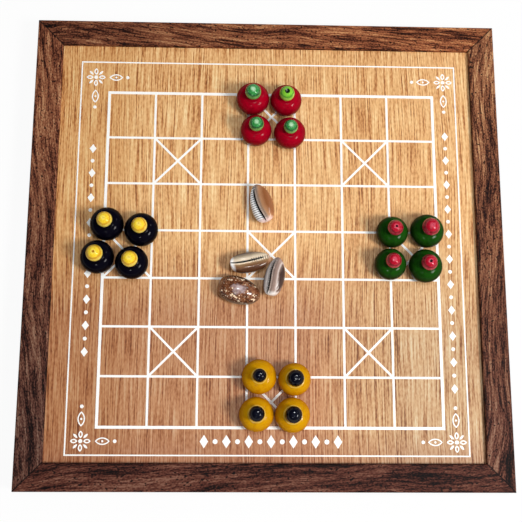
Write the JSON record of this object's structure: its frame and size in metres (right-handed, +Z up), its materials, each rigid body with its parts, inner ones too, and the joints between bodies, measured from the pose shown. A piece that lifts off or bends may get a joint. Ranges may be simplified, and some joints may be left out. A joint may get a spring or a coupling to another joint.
{
  "type": "race game board with pawns",
  "caption": "Square framed wooden race-game board with a printed grid, turned lacquered pawns in sets of four colours and cowrie shells for dice.",
  "frame": {"origin": "centre of the frame's underside, on the surface it lies on", "axes": "+Z up out of the playing surface, +X to the right and +Y to the back for a player who sits at the front side"},
  "size_m": [0.3026, 0.3026, 0.0388],
  "materials": {
    "frame_wood": "oiled satin hardwood, dark brown with darker figure",
    "fibreboard": "bare medium-density fibreboard",
    "veneer": "satin clear-coated teak-like veneer, fine straight grain",
    "ink": "satin white screen ink",
    "steel": "plain steel wire",
    "red_lacquer": "gloss turned lacquer, crimson belly with a green knob",
    "black_lacquer": "gloss turned lacquer, black belly with a yellow knob",
    "green_lacquer": "gloss turned lacquer, dark green belly with a red knob",
    "yellow_lacquer": "gloss turned lacquer, mustard belly with a black knob",
    "shell": "glossy natural cowrie shell"
  },
  "bodies": {
    "board": {"rail_front": "frame_wood", "rail_right": "frame_wood", "rail_back": "frame_wood", "rail_left": "frame_wood", "playing_panel": "fibreboard", "surface_veneer": "veneer", "board_print": "ink", "corner_nails": "steel", "panel_pins": "steel"},
    "red_pawn_1": {"red_pawn_1": "red_lacquer"},
    "red_pawn_2": {"red_pawn_2": "red_lacquer"},
    "red_pawn_3": {"red_pawn_3": "red_lacquer"},
    "red_pawn_4": {"red_pawn_4": "red_lacquer"},
    "black_pawn_1": {"black_pawn_1": "black_lacquer"},
    "black_pawn_2": {"black_pawn_2": "black_lacquer"},
    "black_pawn_3": {"black_pawn_3": "black_lacquer"},
    "black_pawn_4": {"black_pawn_4": "black_lacquer"},
    "green_pawn_1": {"green_pawn_1": "green_lacquer"},
    "green_pawn_2": {"green_pawn_2": "green_lacquer"},
    "green_pawn_3": {"green_pawn_3": "green_lacquer"},
    "green_pawn_4": {"green_pawn_4": "green_lacquer"},
    "yellow_pawn_1": {"yellow_pawn_1": "yellow_lacquer"},
    "yellow_pawn_2": {"yellow_pawn_2": "yellow_lacquer"},
    "yellow_pawn_3": {"yellow_pawn_3": "yellow_lacquer"},
    "yellow_pawn_4": {"yellow_pawn_4": "yellow_lacquer"},
    "cowrie_1": {"cowrie_1": "shell"},
    "cowrie_2": {"cowrie_2": "shell"},
    "cowrie_3": {"cowrie_3": "shell"},
    "cowrie_4": {"cowrie_4": "shell"}
  },
  "joints": [
    {"name": "red_pawn_1_lift", "type": "slide", "parent": "board", "child": "red_pawn_1", "axis": [0, 0, 1], "range_m": [0, 0.05]},
    {"name": "red_pawn_2_lift", "type": "slide", "parent": "board", "child": "red_pawn_2", "axis": [0, 0, 1], "range_m": [0, 0.05]},
    {"name": "red_pawn_3_lift", "type": "slide", "parent": "board", "child": "red_pawn_3", "axis": [0, 0, 1], "range_m": [0, 0.05]},
    {"name": "red_pawn_4_lift", "type": "slide", "parent": "board", "child": "red_pawn_4", "axis": [0, 0, 1], "range_m": [0, 0.05]},
    {"name": "black_pawn_1_lift", "type": "slide", "parent": "board", "child": "black_pawn_1", "axis": [0, 0, 1], "range_m": [0, 0.05]},
    {"name": "black_pawn_2_lift", "type": "slide", "parent": "board", "child": "black_pawn_2", "axis": [0, 0, 1], "range_m": [0, 0.05]},
    {"name": "black_pawn_3_lift", "type": "slide", "parent": "board", "child": "black_pawn_3", "axis": [0, 0, 1], "range_m": [0, 0.05]},
    {"name": "black_pawn_4_lift", "type": "slide", "parent": "board", "child": "black_pawn_4", "axis": [0, 0, 1], "range_m": [0, 0.05]},
    {"name": "green_pawn_1_lift", "type": "slide", "parent": "board", "child": "green_pawn_1", "axis": [0, 0, 1], "range_m": [0, 0.05]},
    {"name": "green_pawn_2_lift", "type": "slide", "parent": "board", "child": "green_pawn_2", "axis": [0, 0, 1], "range_m": [0, 0.05]},
    {"name": "green_pawn_3_lift", "type": "slide", "parent": "board", "child": "green_pawn_3", "axis": [0, 0, 1], "range_m": [0, 0.05]},
    {"name": "green_pawn_4_lift", "type": "slide", "parent": "board", "child": "green_pawn_4", "axis": [0, 0, 1], "range_m": [0, 0.05]},
    {"name": "yellow_pawn_1_lift", "type": "slide", "parent": "board", "child": "yellow_pawn_1", "axis": [0, 0, 1], "range_m": [0, 0.05]},
    {"name": "yellow_pawn_2_lift", "type": "slide", "parent": "board", "child": "yellow_pawn_2", "axis": [0, 0, 1], "range_m": [0, 0.05]},
    {"name": "yellow_pawn_3_lift", "type": "slide", "parent": "board", "child": "yellow_pawn_3", "axis": [0, 0, 1], "range_m": [0, 0.05]},
    {"name": "yellow_pawn_4_lift", "type": "slide", "parent": "board", "child": "yellow_pawn_4", "axis": [0, 0, 1], "range_m": [0, 0.05]},
    {"name": "cowrie_1_lift", "type": "slide", "parent": "board", "child": "cowrie_1", "axis": [0, 0, 1], "range_m": [0, 0.05]},
    {"name": "cowrie_2_lift", "type": "slide", "parent": "board", "child": "cowrie_2", "axis": [0, 0, 1], "range_m": [0, 0.05]},
    {"name": "cowrie_3_lift", "type": "slide", "parent": "board", "child": "cowrie_3", "axis": [0, 0, 1], "range_m": [0, 0.05]},
    {"name": "cowrie_4_lift", "type": "slide", "parent": "board", "child": "cowrie_4", "axis": [0, 0, 1], "range_m": [0, 0.05]}
  ]
}
